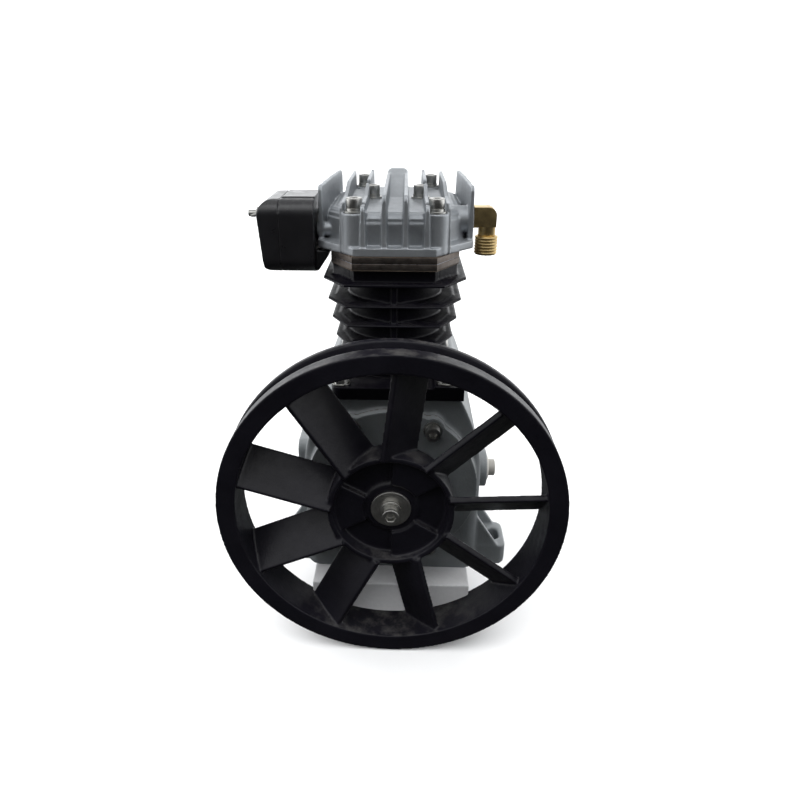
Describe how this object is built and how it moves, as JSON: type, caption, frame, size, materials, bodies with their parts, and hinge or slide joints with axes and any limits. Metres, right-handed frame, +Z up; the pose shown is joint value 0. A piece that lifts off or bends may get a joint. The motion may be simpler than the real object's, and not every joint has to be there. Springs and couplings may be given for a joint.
{
  "type": "reciprocating air compressor pump",
  "caption": "Belt-driven air compressor pump: in-line cylinders on a footed crankcase, finned head, side air filter, brass outlet elbow and a fan-bladed flywheel.",
  "frame": {"origin": "centre of the base face, in the plane of the feet", "axes": "+Z up along the cylinders; the crankshaft lies along Y, and -Y points out of the flywheel; +X is the outlet side, -X the air filter side"},
  "size_m": [0.3, 0.2876, 0.41],
  "materials": {
    "case_paint": "satin grey paint on cast iron",
    "gasket_paper": "dark fibre gasket",
    "zinc_steel": "zinc-plated steel",
    "seal_rubber": "oil seal rubber",
    "bearing_steel": "ground bearing steel",
    "cage_brass": "balls in a pressed cage",
    "bezel_alloy": "turned",
    "sight_glass": "clear window over oil",
    "plug_plastic": "beige-grey",
    "black_iron": "gloss black paint on finned cast iron",
    "plate_steel": "dark, slightly brown steel plate",
    "spring_steel": "blued spring steel",
    "head_alloy": "bare die-cast, satin",
    "filter_plastic": "black satin plastic",
    "filter_foam": "pleated paper",
    "fitting_brass": "turned and pressed brass",
    "wheel_iron": "satin black paint",
    "machined_steel": "machined steel",
    "piston_alloy": "cast, machined on the running faces",
    "ring_iron": "ground",
    "bush_bronze": "bronze bush on the crankpin"
  },
  "bodies": {
    "pump": {"crankcase": "case_paint", "front_cover": "case_paint", "front_cover_gasket": "gasket_paper", "front_cover_bolts": "zinc_steel", "shaft_seal": "seal_rubber", "front_bearing_outer": "bearing_steel", "rear_bearing_outer": "bearing_steel", "rear_cover": "case_paint", "rear_cover_gasket": "gasket_paper", "rear_cover_bolts": "zinc_steel", "sight_glass_bezel": "bezel_alloy", "sight_glass_lens": "sight_glass", "oil_filler_plug": "plug_plastic", "drain_plug": "zinc_steel", "cylinder_block": "black_iron", "block_gasket": "gasket_paper", "block_studs": "zinc_steel", "block_nuts": "zinc_steel", "lower_valve_gasket": "gasket_paper", "lower_valve_plate": "plate_steel", "reed_sheet": "spring_steel", "upper_valve_plate": "plate_steel", "reed_stops": "spring_steel", "reed_stop_screws": "spring_steel", "head_gasket": "gasket_paper", "cylinder_head": "head_alloy", "head_bolts": "zinc_steel", "head_washers": "zinc_steel", "intake_nipple": "zinc_steel", "filter_housing": "filter_plastic", "filter_element": "filter_foam", "filter_cap": "filter_plastic", "filter_stud": "zinc_steel", "filter_wing_nut": "zinc_steel", "outlet_elbow": "fitting_brass", "outlet_nut": "fitting_brass"},
    "crank": {"crank_front": "machined_steel", "crank_centre": "machined_steel", "crank_rear": "machined_steel", "front_bearing_inner": "bearing_steel", "rear_bearing_inner": "bearing_steel", "flywheel": "wheel_iron", "flywheel_key": "machined_steel", "hub_washer": "machined_steel", "hub_spring_washer": "zinc_steel", "hub_screw": "zinc_steel"},
    "front_cage": {"front_ball_cage": "cage_brass"},
    "rear_cage": {"rear_ball_cage": "cage_brass"},
    "front_piston_group": {"front_piston": "piston_alloy", "front_piston_rings": "ring_iron", "front_wrist_pin": "machined_steel", "front_circlips": "spring_steel"},
    "front_rod_group": {"front_rod": "piston_alloy", "front_crankpin": "bush_bronze"},
    "rear_piston_group": {"rear_piston": "piston_alloy", "rear_piston_rings": "ring_iron", "rear_wrist_pin": "machined_steel", "rear_circlips": "spring_steel"},
    "rear_rod_group": {"rear_rod": "piston_alloy", "rear_crankpin": "bush_bronze"}
  },
  "joints": [
    {"name": "crank_spin", "type": "hinge", "parent": "pump", "child": "crank", "pos_m": [0, 0, 0.1], "axis": [0, 1, 0], "continuous": true},
    {"name": "front_cage_spin", "type": "hinge", "parent": "pump", "child": "front_cage", "pos_m": [0, -0.096, 0.1], "axis": [0, 1, 0], "continuous": true},
    {"name": "rear_cage_spin", "type": "hinge", "parent": "pump", "child": "rear_cage", "pos_m": [0, 0.096, 0.1], "axis": [0, 1, 0], "continuous": true},
    {"name": "front_piston_slide", "type": "slide", "parent": "pump", "child": "front_piston_group", "axis": [0, 0, 1], "range_m": [-0.046, 0]},
    {"name": "rear_piston_slide", "type": "slide", "parent": "pump", "child": "rear_piston_group", "axis": [0, 0, 1], "range_m": [0, 0.046]},
    {"name": "front_rod_swing", "type": "hinge", "parent": "front_piston_group", "child": "front_rod_group", "pos_m": [0, -0.044, 0.2694], "axis": [0, 1, 0], "range_deg": [-9, 9]},
    {"name": "rear_rod_swing", "type": "hinge", "parent": "rear_piston_group", "child": "rear_rod_group", "pos_m": [0, 0.044, 0.2234], "axis": [0, 1, 0], "range_deg": [-9, 9]}
  ],
  "couplings": [
    {"joint": "front_cage_spin", "follows": "crank_spin", "ratio": 0.4},
    {"joint": "rear_cage_spin", "follows": "crank_spin", "ratio": 0.4},
    {"joint": "rear_piston_slide", "follows": "front_piston_slide", "ratio": -1},
    {"joint": "rear_rod_swing", "follows": "front_rod_swing", "ratio": -1}
  ]
}
